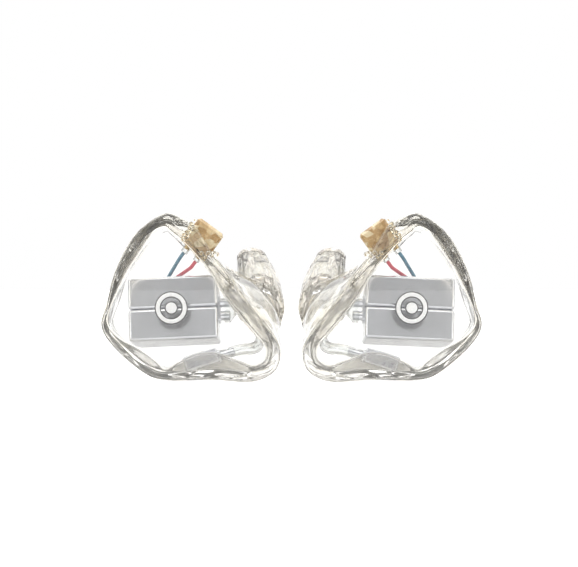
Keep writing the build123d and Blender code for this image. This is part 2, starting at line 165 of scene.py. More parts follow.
class Finish:
    """A node tree under one name, with a single method that adds any node."""

    def __init__(self, owner):
        owner.use_nodes = True
        self.owner = owner
        self.tree = owner.node_tree
        self.tree.nodes.clear()

    def add(self, kind, settings=None, values=None, out=0):
        """Adds a node, first its settings, then its sockets' values or links. Gives its output as a Value."""
        node = self.tree.nodes.new(kind)
        for name, setting in (settings or {}).items():
            if name == "stops":
                self.set_stops(node, setting)
            else:
                setattr(node, name, setting)
        pairs = enumerate(values) if isinstance(values, list) else (values or {}).items()
        for key, value in pairs:
            self.feed(node.inputs[key], value)
        return Value(self, node.outputs[out]) if node.outputs else node

    def set_stops(self, node, stops):
        ramp = node.color_ramp.elements
        while len(ramp) < len(stops):
            ramp.new(1.0)
        for element, (place, colour) in zip(ramp, stops):
            element.position = place
            element.color = (*colour, 1.0)

    def feed(self, socket, value):
        if isinstance(value, Value):
            self.tree.links.new(value.socket, socket)
        elif hasattr(socket.default_value, "__len__") and len(socket.default_value) == 4:
            socket.default_value = (*value, 1.0) if len(value) == 3 else value
        else:
            socket.default_value = value

    def place(self):
        """Object coordinates, in metres."""
        return self.add("ShaderNodeTexCoord", out="Object")

    def noise(self, scale, detail=3.0, where=None, **more):
        values = {"Vector": where or self.place(), "Scale": scale, "Detail": detail}
        values.update({key.replace("_", " "): value for key, value in more.items()})
        return self.add("ShaderNodeTexNoise", None, values)

    def ramp(self, factor, stops):
        return self.add("ShaderNodeValToRGB", {"stops": stops}, {"Fac": factor})

    def mixed(self, factor, first, second):
        """Colour between two, by a factor."""
        return self.add("ShaderNodeMix", {"data_type": "RGBA"}, {0: factor, 6: first, 7: second}, out=2)

    def bump(self, height, distance, strength=1.0):
        return self.add("ShaderNodeBump", None, {"Height": height, "Distance": distance, "Strength": strength})

    def principled(self, sockets):
        """A Principled shader, from sockets' names with underlines in place of spaces."""
        values = {key.replace("_", " "): value for key, value in sockets.items()}
        return self.add("ShaderNodeBsdfPrincipled", None, values)

    def surface(self, **sockets):
        """A Principled shader with the given sockets, wired to the output."""
        self.add("ShaderNodeOutputMaterial", None, {"Surface": self.principled(sockets)})

    def clear_surface(self, **sockets):
        """A Principled shader that lets the rays from lamps through, so that they reach what is inside."""
        shader = self.principled(sockets)
        lamp_ray = self.add("ShaderNodeLightPath", out="Is Shadow Ray")
        through = self.add("ShaderNodeBsdfTransparent", None, {"Color": (0.93, 0.93, 0.92)})
        both = self.add("ShaderNodeMixShader", None, [lamp_ray, shader, through])
        self.add("ShaderNodeOutputMaterial", None, {"Surface": both})


def new_finish(name):
    return Finish(bpy.data.materials.new(name))


# ---------------------------------------------------------------- finishes
def poured_acrylic(look, name, clarity):
    """Hand-poured clear acrylic: water-clear in the panes. In the thick walls its colour holds painted streaks of
    shade and highlight that stand in for refraction, with a cream tone that is partly the acrylic's own warm tint.

    The marks of acrylic_marks say how strong the painted streaks are, which way they run, and where the canal's
    painted folds of shade and highlight take over from the rim's streaks.
    """
    f = new_finish(name)
    streaked = f.add("ShaderNodeAttribute", {"attribute_name": "streaked"}, out="Fac")
    flow = f.add("ShaderNodeAttribute", {"attribute_name": "flow"}, out="Vector")
    streak = f.noise(look.streak_scale, 3.0, where=flow, Distortion=1.1)
    fine = f.noise(2.6 * look.streak_scale, 2.0, where=flow, Distortion=0.6)
    tone = streak * 0.75 + fine * 0.25
    # dark and grey are painted shade and light is a painted highlight, standing in for refraction; cream is partly
    # the acrylic's own warm tint and partly painted light.
    dark, grey, cream, light = look.painted_shade_dark, look.painted_shade_grey, look.tint_and_painted_cream, look.painted_highlight
    # stops paint the rim's refraction as streaks of shade and highlight; folds paint the canal's refraction the same
    # way.
    stops = [(0.34, dark), (0.4, cream), (0.455, light), (0.5, cream), (0.54, grey), (0.575, light), (0.64, dark)]
    folds = [(0.36, dark), (0.41, grey), (0.45, light), (0.5, grey), (0.53, cream), (0.57, dark), (0.62, light)]
    deep = f.add("ShaderNodeAttribute", {"attribute_name": "deep"}, out="Fac")
    # streaks is the painted refraction shade and highlight, taken from the rim's stops or the canal's folds by deep.
    streaks = f.mixed(deep, f.ramp(tone, stops), f.ramp(tone, folds))
    colour = f.mixed(streaked, tuple(look.acrylic_tint), streaks)
    f.clear_surface(Base_Color=colour, Roughness=0.004 + 0.05 * fine * streaked, IOR=look.acrylic_ior,
                    Transmission_Weight=clarity)
    return f.owner


def acrylic_pane(look):
    """Acrylic of the faceplate's window and the bowl's back."""
    return poured_acrylic(look, "acrylic_pane", 1.0)


def acrylic_wall(look):
    """Acrylic of the rim and canal, with the slight haze of a thick pour."""
    return poured_acrylic(look, "acrylic_wall", look.wall_clarity)


def clear_resin(look):
    """Droplets and fillets of clear resin, more warmly tinted than the acrylic."""
    f = new_finish("clear_resin")
    lumps = f.noise(1500.0, 2.0)
    f.clear_surface(Base_Color=look.resin_tint, Roughness=0.02 + 0.05 * lumps.step(0.4, 0.7), IOR=1.5,
                    Transmission_Weight=1.0, Normal=f.bump(lumps, 0.00008))
    return f.owner


def clear_tubing(look):
    """Soft clear tube: slightly grey and cloudy, with fine lines along its draw."""
    f = new_finish("clear_tubing")
    cloud = f.noise(900.0, 3.0)
    tint = f.ramp(cloud, [(0.3, (0.86, 0.87, 0.87)), (0.7, (0.95, 0.96, 0.95))])
    f.clear_surface(Base_Color=tint, Roughness=0.06 + 0.1 * cloud.step(0.4, 0.7), IOR=1.41,
                    Transmission_Weight=1.0)
    return f.owner


def amber_resin(look):
    """Amber resin cut by hand: its colour changes from cell to cell, with darker flecks and a few scratches."""
    f = new_finish("amber_resin")
    warp = f.noise(900.0, 2.0)
    cells = f.add("ShaderNodeTexVoronoi", {"feature": "F1"}, {"Vector": f.place(), "Scale": 1050.0}, out="Color")
    tone = f.add("ShaderNodeSeparateColor", None, {"Color": cells}) * 0.6 + warp * 0.4
    colour = f.ramp(tone, [(0.2, look.amber_dark), (0.5, look.amber), (0.8, look.amber_light)])
    scratch = f.noise(5200.0, 4.0, Distortion=1.5)
    height = tone * 0.7 + scratch * 0.3
    f.surface(Base_Color=colour, Roughness=0.14 + 0.25 * scratch.step(0.4, 0.8), IOR=1.5,
              Transmission_Weight=0.35, Coat_Weight=0.4, Coat_Roughness=0.08,
              Normal=f.bump(height, 0.00012, 0.8))
    return f.owner


def gold_plate(look):
    """Gold plating on turned contacts: fine tool rings and a little tarnish."""
    f = new_finish("gold_plate")
    tarnish = f.noise(1400.0, 4.0)
    colour = f.ramp(tarnish, [(0.35, (0.72, 0.47, 0.16)), (0.65, (0.93, 0.7, 0.33))])
    f.surface(Base_Color=colour, Metallic=1.0, Roughness=0.16 + 0.2 * tarnish.step(0.4, 0.7),
              Normal=f.bump(f.noise(9000.0, 2.0), 0.00001))
    return f.owner


def satin_steel(look, name, colour, gleam=0.0, along=None):
    """Drawn steel: a faint satin grain, handling marks, and slow changes of tone."""
    f = new_finish(name)
    where = along(f) if along else f.add("ShaderNodeMapping", None, {"Vector": f.place(), "Scale": (1000.0,) * 3})
    stretch = f.add("ShaderNodeMapping", None, {"Vector": where, "Scale": (0.8, 4.0, 4.0)})
    grain = f.noise(1.0, 1.0, where=stretch)
    slow = f.noise(0.18, 2.0, where=where)
    marks = f.noise(1.1, 3.0, where=where, Distortion=2.0).step(0.62, 0.75)
    tone = slow * 0.75 + grain * 0.17 + marks * 0.08
    low = tuple(0.96 * c for c in colour)
    high = tuple(min(1.0, 1.03 * c) for c in colour)
    f.surface(Base_Color=f.ramp(tone, [(0.3, low), (0.65, high)]), Metallic=look.steel_metallic,
              Roughness=look.steel_roughness - gleam + 0.05 * grain + 0.04 * marks)
    return f.owner


def can_place(f):
    """Coordinates of a can's own frame, in millimetres, with X along it."""
    return f.add("ShaderNodeAttribute", {"attribute_name": "can"}, out="Vector")


def insulation(name, colour):
    """Extruded wire insulation: satin, with slow changes of tone and fine draw lines."""
    f = new_finish(name)
    slow = f.noise(1300.0, 3.0)
    dark = tuple(0.75 * c for c in colour)
    f.surface(Base_Color=f.ramp(slow, [(0.3, dark), (0.7, colour)]), Roughness=0.36 + 0.2 * slow.step(0.3, 0.7),
              Normal=f.bump(f.noise(7000.0, 2.0), 0.00001))
    return f.owner


def inlay_white(look):
    """Satin white inlay with the faint mottle of a printed film."""
    f = new_finish("inlay_white")
    mottle = f.noise(3200.0, 4.0)
    f.surface(Base_Color=f.ramp(mottle, [(0.3, (0.86, 0.86, 0.86)), (0.7, (0.97, 0.97, 0.97))]),
              Roughness=0.32 + 0.15 * mottle, Normal=f.bump(mottle, 0.000008))
    return f.owner


def inlay_edge(look):
    """Dark line round the inlay."""
    f = new_finish("inlay_edge")
    mottle = f.noise(4000.0, 3.0)
    f.surface(Base_Color=f.ramp(mottle, [(0.3, (0.03, 0.03, 0.03)), (0.7, (0.09, 0.09, 0.09))]),
              Roughness=0.4 + 0.2 * mottle)
    return f.owner


def copper_winding(look):
    """Enamelled copper: bands of wire across the coil."""
    f = new_finish("copper_winding")
    turns = f.add("ShaderNodeTexWave", {"bands_direction": "X"},
                  {"Vector": f.place(), "Scale": 2600.0, "Distortion": 0.6})
    f.surface(Base_Color=f.ramp(turns, [(0.2, (0.33, 0.12, 0.05)), (0.8, (0.72, 0.34, 0.16))]),
              Metallic=0.8, Roughness=0.3 + 0.1 * turns, Normal=f.bump(turns, 0.00002))
    return f.owner


def solder_mask(look):
    """Green board lacquer over a faint glass weave."""
    f = new_finish("solder_mask")
    weave = f.add("ShaderNodeTexWave", None, {"Vector": f.place(), "Scale": 2200.0, "Distortion": 1.0})
    tone = weave * 0.5 + f.noise(1500.0, 3.0) * 0.5
    f.surface(Base_Color=f.ramp(tone, [(0.3, (0.01, 0.06, 0.03)), (0.7, (0.03, 0.14, 0.07))]),
              Roughness=0.3 + 0.15 * weave, Coat_Weight=0.5, Normal=f.bump(weave, 0.000008))
    return f.owner


def solder(look):
    """Bright solder with a slightly wrinkled skin."""
    f = new_finish("solder")
    skin = f.noise(3600.0, 3.0)
    f.surface(Base_Color=f.ramp(skin, [(0.3, (0.55, 0.56, 0.57)), (0.7, (0.8, 0.8, 0.8))]), Metallic=1.0,
              Roughness=0.2 + 0.2 * skin, Normal=f.bump(skin, 0.00002))
    return f.owner


def stage_white(look):
    """Pale matt floor with a faint grain, which glows up to white where it is looked at directly."""
    f = new_finish("stage_white")
    grain = f.noise(700.0, 3.0)
    matt = f.ramp(grain, [(0.3, (0.7, 0.7, 0.7)), (0.7, (0.75, 0.75, 0.75))])
    seen = f.add("ShaderNodeLightPath", out="Is Camera Ray")
    glow = f.mixed(seen, (0.0, 0.0, 0.0), (1.0, 1.0, 1.0))
    f.surface(Base_Color=matt, Roughness=0.7, Emission_Color=glow, Emission_Strength=look.floor_glow)
    return f.owner


# ---------------------------------------------------------------- shapes
def angles():
    return np.linspace(0.0, 2.0 * math.pi, AROUND, endpoint=False)


def radii(points):
    """Distance from CENTRE to a smooth closed curve through the points, at each of the angles.

    Between two points the curve is a cubic whose slope at each is half the step between its neighbours.
    """
    p = np.asarray(points, float) - CENTRE
    n = len(p)
    t = np.linspace(0.0, n, 40 * n, endpoint=False)
    i = t.astype(int)
    f = (t - i)[:, None]
    a, b, c, d = p[i - 1], p[i % n], p[(i + 1) % n], p[(i + 2) % n]
    curve = 0.5 * (2 * b + (c - a) * f + (2 * a - 5 * b + 4 * c - d) * f**2 + (3 * b - a - 3 * c + d) * f**3)
    turn = np.arctan2(curve[:, 1], curve[:, 0]) % (2 * math.pi)
    order = np.argsort(turn)
    return np.interp(angles(), turn[order], np.hypot(*curve.T)[order], period=2 * math.pi)


def ring(radius, y, inset=0.0, scale=1.0):
    """Closed row of points at depth y, at the given distance from CENTRE at each angle, moved in by inset."""
    a = angles()
    slope = (np.roll(radius, -1) - np.roll(radius, 1)) / (2 * (a[1] - a[0]))
    r = (radius - inset * np.hypot(1.0, slope / radius)) * scale
    depth = np.broadcast_to(y, r.shape)
    return np.stack([CENTRE[0] + r * np.cos(a), depth, CENTRE[1] + r * np.sin(a)], -1)


def canal_ring(station, inset=0.0, forward=0.0):
    """Ellipse across the canal, in a plane that leans back by the station's pitch."""
    (x, y, z), pitch, half_width, half_height = station
    lean, a = math.radians(pitch), angles()
    across = (half_width - inset) * np.cos(a)
    up = (half_height - inset) * np.sin(a)
    return np.stack([x + across, y - up * math.sin(lean) + forward * math.cos(lean),
                     z + up * math.cos(lean) + forward * math.sin(lean)], -1)


def through_rows(rows, count):
    """Smooth surface through the rows: along each line of the grid, the same cubic as in an outline."""
    p = np.stack([2 * rows[0] - rows[1], *rows, 2 * rows[-1] - rows[-2]])
    t = np.linspace(0.0, len(rows) - 1, count)
    i = np.minimum(t.astype(int), len(rows) - 2)
    f = (t - i)[:, None, None]
    a, b, c, d = p[i], p[i + 1], p[i + 2], p[i + 3]
    return 0.5 * (2 * b + (c - a) * f + (2 * a - 5 * b + 4 * c - d) * f**2 + (3 * b - a - 3 * c + d) * f**3)


def rippled_wall(stations, count, height, seed, fade_rate):
    """Smooth wall through the stations, whose ripple fades in over the first 1 / fade_rate of its length."""
    smooth = through_rows(stations, count)
    fade = np.clip(np.linspace(0, fade_rate, count), 0, 1)[:, None, None]
    return smooth * (1 - fade) + hand_ripple(smooth, height, seed) * fade


def hand_ripple(grid, height, seed):
    """Moves the points in or out across Y by slow waves that run round and along the wall."""
    a = angles()[None, :]
    y = grid[..., 1]
    wave = (np.sin(3 * a + 0.35 * y + seed) + 0.7 * np.sin(7 * a - 0.6 * y + 2.1 * seed)
            + 0.5 * np.sin(13 * a + 0.9 * y + 0.7 * seed) + 0.3 * np.sin(4 * a - 1.7 * y))
    out = np.stack([np.cos(a) + 0 * y, 0 * y, np.sin(a) + 0 * y], -1)
    return grid + out * (height * wave)[..., None]


def grid_faces(rows, columns, first=0, inward=False, wrap=True):
    """Quads of a grid whose columns close on themselves. Its faces look away from the middle, or towards it."""
    v, u = np.meshgrid(np.arange(rows - 1), np.arange(columns if wrap else columns - 1), indexing="ij")
    along = (u + 1) % columns
    quads = np.stack([v * columns + u, (v + 1) * columns + u, (v + 1) * columns + along, v * columns + along], -1)
    quads = quads.reshape(-1, 4) + first
    return quads[:, ::-1] if inward else quads


def closed_skin(grid, inward=False):
    """Points and faces of a grid with a middle point at each end, so that it is closed."""
    rows, columns = grid.shape[:2]
    points = np.concatenate([grid.reshape(-1, 3), grid[:1].mean(1), grid[-1:].mean(1)])
    u = np.arange(columns)
    after = (u + 1) % columns
    start, end, last = rows * columns, rows * columns + 1, (rows - 1) * columns
    caps = np.concatenate([np.stack([np.full(columns, start), u, after], -1),
                           np.stack([np.full(columns, end), last + after, last + u], -1)])
    caps = caps[:, ::-1] if inward else caps
    return points, grid_faces(rows, columns, 0, inward).tolist() + caps.tolist()


def joined(*skins):
    """Several skins as one set of points and faces."""
    points, faces, first = [], [], 0
    for skin_points, skin_faces in skins:
        points.append(skin_points)
        faces += [[corner + first for corner in face] for face in skin_faces]
        first += len(skin_points)
    return np.concatenate(points), faces


def seat():
    """Where the right monitor's own origin lies in the frame, from the box of its faceplate."""
    low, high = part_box("right_faceplate")
    rim = ring(radii(RIM), 0.0)
    return np.array([low[0] / MM - rim[:, 0].min(), high[1] / MM, low[2] / MM - rim[:, 2].min()])


def outside(points, outline):
    """How far points lie outside an outline in the front view, along the line from CENTRE, and their angles."""
    x, z = points[:, 0] - CENTRE[0], points[:, 2] - CENTRE[1]
    turn = np.arctan2(z, x)
    return np.hypot(x, z) - np.interp(turn % (2 * math.pi), angles(), radii(outline), period=2 * math.pi), turn


def acrylic_marks(points):
    """Marks of the clear housing's points, each from 0 to 1 but for flow, which is what the streaks follow.

    wall rises smoothly from 0 inside WINDOW to 1 outside it. deep is wall times a ramp that rises along the canal.
    The mark that sets how strongly the painted streaks of shade and highlight show is wall, weakened low on the
    monitor and, outside the canal, on the way in behind the rim. In flow two coordinates go slowly round a circle and
    the third goes fast across the rim, so that the painted streaks run round it.
    """
    across, turn = outside(points, WINDOW)
    share = np.clip((across + 0.2) / 0.3, 0.0, 1.0)
    wall = share * share * (3.0 - 2.0 * share)
    canal = np.clip((points[:, 1] - 10.5) / 2.0, 0.0, 1.0)
    low = np.clip((-3.0 - points[:, 2]) / 5.0, 0.0, 1.0)
    fade = np.clip((points[:, 1] - 1.0) / 3.5, 0.0, 1.0) * (1.0 - canal)
    streaked = wall * (1.0 - 0.42 * low) * (1.0 - 0.68 * fade)
    flow = np.stack([3.2 * np.cos(turn), 3.2 * np.sin(turn), 1.1 * across + 0.33 * points[:, 1]], -1)
    return {"wall": ("FLOAT", "value", wall), "flow": ("FLOAT_VECTOR", "vector", flow),
            "deep": ("FLOAT", "value", wall * canal), "streaked": ("FLOAT", "value", streaked)}


def make_piece(name, side, skin, finish, replaces=(), marks=None, wall_finish=None):
    """Object of one monitor from points in millimetres, mirrored for the left one, on that monitor's body.

    marks works out attributes from the points. Faces where the mark named wall is over a half get wall_finish.
    """
    points, faces = skin
    marks = marks(points) if marks else {}
    sign = SIDES[side]
    points = (points + seat()) * MM
    points[:, 0] *= sign
    faces = faces if sign > 0 else [face[::-1] for face in faces]
    mesh = bpy.data.meshes.new(f"{side}_{name}")
    mesh.from_pydata(points.tolist(), [], faces)
    mesh.polygons.foreach_set("use_smooth", np.full(len(faces), True))
    mesh.materials.append(finish)
    for mark, (kind, field, values) in marks.items():
        mesh.attributes.new(mark, kind, "POINT").data.foreach_set(field, values.astype(np.float32).ravel())
    if wall_finish:
        mesh.materials.append(wall_finish)
        starts, corners = np.empty(len(faces), np.int32), np.empty(len(mesh.loops), np.int32)
        mesh.polygons.foreach_get("loop_start", starts)
        mesh.loops.foreach_get("vertex_index", corners)
        share = marks["wall"][2]
        opposite = share[corners[starts + 2]]
        mesh.polygons.foreach_set("material_index", (share[corners[starts]] + opposite > 1.0).astype(np.int32))
    mesh.update()
    piece = bpy.data.objects.new(f"{side}_{name}", mesh)
    bpy.context.scene.collection.objects.link(piece)
    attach(piece, f"{side}_monitor")
    if replaces:
        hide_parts(*[f"{side}_{node}" for node in replaces])


def rotation(turns):
    """Matrix of a turn about X, then the turned Y, then the turned Z, in degrees."""
    x, y, z = np.radians(turns)
    about_x = np.array([[1, 0, 0], [0, math.cos(x), -math.sin(x)], [0, math.sin(x), math.cos(x)]])
    about_y = np.array([[math.cos(y), 0, math.sin(y)], [0, 1, 0], [-math.sin(y), 0, math.cos(y)]])
    about_z = np.array([[math.cos(z), -math.sin(z), 0], [math.sin(z), math.cos(z), 0], [0, 0, 1]])
    return about_x @ about_y @ about_z


def placed(points, place):
    """Points of a receiver's own frame, turned and moved to its place in the monitor."""
    centre, turns = place
    return points @ rotation(turns).T + centre


def bead(path, radius, sides=10):
    """Round bar along a closed path. Each ring lies across the path, between its direction and a fixed up."""
    tangent = np.roll(path, -1, 0) - np.roll(path, 1, 0)
    tangent /= np.linalg.norm(tangent, axis=1)[:, None]
    up = path - path.mean(0)
    up -= (up * tangent).sum(1)[:, None] * tangent
    up /= np.linalg.norm(up, axis=1)[:, None]
    side = np.cross(tangent, up)
    a = np.linspace(0, 2 * math.pi, sides, endpoint=False)[None, :, None]
    r = np.broadcast_to(radius, len(path))[:, None, None]
    grid = path[:, None] + r * (np.cos(a) * up[:, None] + np.sin(a) * side[:, None])
    n, m = grid.shape[:2]
    v, u = np.meshgrid(np.arange(n), np.arange(m), indexing="ij")
    after, along = (v + 1) % n, (u + 1) % m
    faces = np.stack([v * m + u, after * m + u, after * m + along, v * m + along], -1).reshape(-1, 4)
    return grid.reshape(-1, 3), faces[:, ::-1].tolist()


def lathe(profile, centre, axis, count=48):
    """Surface turned about an axis through centre. profile holds (distance out, height along the axis)."""
    axis = np.asarray(axis, float) / np.linalg.norm(axis)
    side = np.cross(axis, (0.0, 0.0, 1.0) if abs(axis[2]) < 0.9 else (1.0, 0.0, 0.0))
    side /= np.linalg.norm(side)
    other = np.cross(side, axis)
    a = np.linspace(0, 2 * math.pi, count, endpoint=False)[None, :, None]
    out, height = np.asarray(profile, float).T[:, :, None, None]
    return np.asarray(centre) + out * (np.cos(a) * side + np.sin(a) * other) + height * axis


# ---------------------------------------------------------------- values that a user would change
class MonitorLook(bpy.types.PropertyGroup):
    """Sizes and colours of the pair's looks."""

    acrylic_tint: bpy.props.FloatVectorProperty(
        name="Acrylic tint", description="Colour that the clear acrylic leaves on light", subtype="COLOR",
        size=3, min=0.0, max=1.0, default=(0.995, 0.993, 0.985))
    # The four streak colours are painted into the rim and canal: the dark and grey ones are painted shade and the
    # light one a painted highlight, standing in for refraction; the cream one is partly the acrylic's warm tint.
    painted_highlight: bpy.props.FloatVectorProperty(
        name="Streaks, light", description="Palest streaks in the rim and canal", subtype="COLOR",
        size=3, min=0.0, max=1.0, default=(0.97, 0.96, 0.9))
    painted_shade_dark: bpy.props.FloatVectorProperty(
        name="Streaks, dark", description="Darkest streaks in the rim and canal", subtype="COLOR",
        size=3, min=0.0, max=1.0, default=(0.24, 0.215, 0.195))
    painted_shade_grey: bpy.props.FloatVectorProperty(
        name="Streaks, grey", description="Grey streaks in the rim and canal", subtype="COLOR",
        size=3, min=0.0, max=1.0, default=(0.55, 0.5, 0.46))
    tint_and_painted_cream: bpy.props.FloatVectorProperty(
        name="Streaks, cream", description="Cream streaks in the rim and canal", subtype="COLOR",
        size=3, min=0.0, max=1.0, default=(0.92, 0.86, 0.7))
    wall_clarity: bpy.props.FloatProperty(
        name="Wall clarity", description="Share of light that passes the thick walls", subtype="FACTOR", default=0.9,
        min=0.0, max=1.0)
    streak_scale: bpy.props.FloatProperty(
        name="Streak scale", description="How fine the streaks are", default=1.2, min=0.1, max=10.0)
    resin_tint: bpy.props.FloatVectorProperty(
        name="Resin tint", description="Colour of the resin beads by the socket", subtype="COLOR",
        size=3, min=0.0, max=1.0, default=(0.97, 0.93, 0.83))
    acrylic_ior: bpy.props.FloatProperty(
        name="Acrylic index", description="Index of refraction of the acrylic", default=1.49, min=1.0, max=2.0)
    wall: bpy.props.FloatProperty(
        name="Wall", description="Thickness of the shell's wall in millimetres", default=0.8, min=0.3, max=2.0)
    plate: bpy.props.FloatProperty(
        name="Faceplate", description="Thickness of the faceplate in millimetres", default=1.1, min=0.5, max=2.0)
    edge: bpy.props.FloatProperty(
        name="Edge", description="Rounding of the faceplate's edge in millimetres", default=0.45, min=0.1, max=1.0)
    ripple: bpy.props.FloatProperty(
        name="Ripple", description="Height of the hand-finished waves in millimetres", default=0.15, min=0.0, max=0.5)
    amber: bpy.props.FloatVectorProperty(
        name="Amber", description="Middle tone of the cable socket", subtype="COLOR",
        size=3, min=0.0, max=1.0, default=(0.68, 0.48, 0.24))
    amber_dark: bpy.props.FloatVectorProperty(
        name="Amber, dark", description="Dark facets of the cable socket", subtype="COLOR",
        size=3, min=0.0, max=1.0, default=(0.42, 0.25, 0.1))
    amber_light: bpy.props.FloatVectorProperty(
        name="Amber, light", description="Light facets of the cable socket", subtype="COLOR",
        size=3, min=0.0, max=1.0, default=(0.92, 0.8, 0.54))
    steel: bpy.props.FloatVectorProperty(
        name="Receiver steel", description="Colour of the receivers' cans", subtype="COLOR",
        size=3, min=0.0, max=1.0, default=(0.63, 0.64, 0.665))
    steel_metallic: bpy.props.FloatProperty(
        name="Metal", description="How metallic the cans are", subtype="FACTOR", default=0.8, min=0.0, max=1.0)
    steel_roughness: bpy.props.FloatProperty(
        name="Can roughness", description="Roughness of the cans", subtype="FACTOR", default=0.17, min=0.0, max=1.0)
    wire_red: bpy.props.FloatVectorProperty(
        name="Red wire", description="Insulation of the red wire", subtype="COLOR",
        size=3, min=0.0, max=1.0, default=(0.75, 0.16, 0.2))
    wire_blue: bpy.props.FloatVectorProperty(
        name="Blue wire", description="Insulation of the blue wire", subtype="COLOR",
        size=3, min=0.0, max=1.0, default=(0.16, 0.3, 0.4))
    floor_glow: bpy.props.FloatProperty(
        name="Floor glow", description="Light that keeps the floor white up to the horizon", default=0.6, min=0.0,
        max=2.0)
    camera_distance: bpy.props.FloatProperty(
        name="Camera distance", description="From the lens to the faceplates", subtype="DISTANCE",
        default=0.45, min=0.1, max=2.0)
    view_width: bpy.props.FloatProperty(
        name="View width", description="Width that the camera takes in at the faceplates", subtype="DISTANCE",
        default=0.078, min=0.03, max=0.5)


def look():
    return bpy.context.scene.monitor_look


MADE = {}


def once(make):
    """The material that a function makes, made the first time that it is asked for."""
    if make not in MADE:
        MADE[make] = make(look())
    return MADE[make]


def dress(finish, *nodes):
    """Gives CAD nodes of both monitors a finish."""
    for side in SIDES:
        for node in nodes:
            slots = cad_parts[f"{side}_{node}"].material_slots
            for each in slots:
                each.material = finish


# ---------------------------------------------------------------- pieces
class MONITOR_OT_housings(bpy.types.Operator):
    """Clear housing of each monitor: faceplate, wall, bowl and canal, with the hollow inside"""

    bl_idname = "monitor.housings"
    bl_label = "Clear housings"

    def outer(self, chosen):
        """Skin from the faceplate's middle, over its edge, down the wall and out to the canal's tip.

        The faceplate is flat, its edge is a quarter circle, the wall goes through outlines that turn from RIM
        into BOWL and then into the canal's ellipses. The tip has a lip whose section is a quarter circle, and a
        shallow recess, through whose floor the tubes' ends stand.
        """
        rim, bowl, window = radii(RIM), radii(BOWL), radii(WINDOW)
        front = [ring(window, -chosen.plate, 0.0, s) for s in (0.05, 0.3, 0.55, 0.8, 0.94, 0.985, 1.0)]
        border = ring(rim, -chosen.plate, chosen.edge) - front[-1]
        front += [front[-1] + share * border for share in (0.1, 0.5, 0.9)]
        turn = np.linspace(0, math.pi / 2, 8)
        edge = [ring(rim, chosen.edge * (1 - math.cos(t)) - chosen.plate, chosen.edge * (1 - math.sin(t)))
                for t in turn]
        seam = [ring(rim, y, inset) for y, inset in ((-0.12, 0.0), (-0.05, 0.02), (0.0, 0.035), (0.05, 0.02))]

        def wall(y, share, scale=1.0):
            return ring(rim + share * (bowl - rim), y, 0.0, scale)

        stations = [wall(0.12, 0.0), wall(1.8, 0.14), wall(3.6, 0.3), wall(6.0, 0.55), wall(8.2, 0.8, 0.995)]
        deep = wall(11.4, 1.0, 0.9)
        root = canal_ring(CANAL[0])
        stations += [wall(10.2, 0.95, 0.965), deep + 0.16 * (root - deep), deep + 0.5 * (root - deep)]
        stations += [canal_ring(station) for station in CANAL]
        body = rippled_wall(stations, 110, chosen.ripple * 0.6, 1.3, 8)
        tip = CANAL[-1]
        lip = [canal_ring(tip, TIP_LIP * (1 - math.cos(t)), TIP_LIP * math.sin(t)) for t in turn[1:]]
        recess = [canal_ring(tip, 0.56, 0.3), canal_ring(tip, 0.6, 0), canal_ring(tip, 0.66, -0.2),
                  canal_ring(tip, 1.2, -0.2), canal_ring(tip, 1.9, -0.2)]
        return np.stack([*front, *edge, *seam, *body, *lip, *recess])

    def inner(self, chosen):
        """Skin of the hollow: flat behind the faceplate, a thick swelling rim, then an even wall to the canal."""
        rim, bowl, window = radii(RIM), radii(BOWL), radii(WINDOW)
        turn = np.linspace(0, math.pi / 2, 6)
        front = [ring(window, 0.0, HOLLOW_EDGE, s) for s in (0.05, 0.35, 0.65, 0.88, 0.96)]
        edge = [ring(window, HOLLOW_EDGE * (1 - math.cos(t)), HOLLOW_EDGE * (1 - math.sin(t))) for t in turn]

        def wall(y, share, scale=1.0, swell=0.0):
            even = ring(rim + share * (bowl - rim), y, chosen.wall, scale)
            return even + swell * (ring(window, y) - even)

        stations = [ring(window, 0.5), wall(1.0, 0.08, 1.0, 0.9), wall(1.8, 0.14, 1.0, 0.55),
                    wall(2.8, 0.22, 1.0, 0.15), wall(4.2, 0.36), wall(6.0, 0.55), wall(8.0, 0.78, 0.995),
                    wall(9.5, 0.93, 0.97)]
        deep = wall(10.6, 1.0, 0.9)
        root = canal_ring(CANAL[0], 0.9, -0.7)
        stations += [deep + 0.2 * (root - deep), deep + 0.6 * (root - deep), root,
                     canal_ring(CANAL[1], 0.9), canal_ring(CANAL[1], 1.3, 0.9), canal_ring(CANAL[1], 2.2, 1.2)]
        body = rippled_wall(stations, 100, chosen.ripple * 0.5, 4.1, 12)
        return np.stack([*front, *edge, *body[1:]])

    def execute(self, context):
        chosen = look()
        finish = once(acrylic_pane)
        skin = joined(closed_skin(self.outer(chosen)), closed_skin(self.inner(chosen), inward=True))
        for side in SIDES:
            make_piece("clear_housing", side, skin, finish, ("shell", "faceplate"),
                       acrylic_marks, once(acrylic_wall))
        return {"FINISHED"}


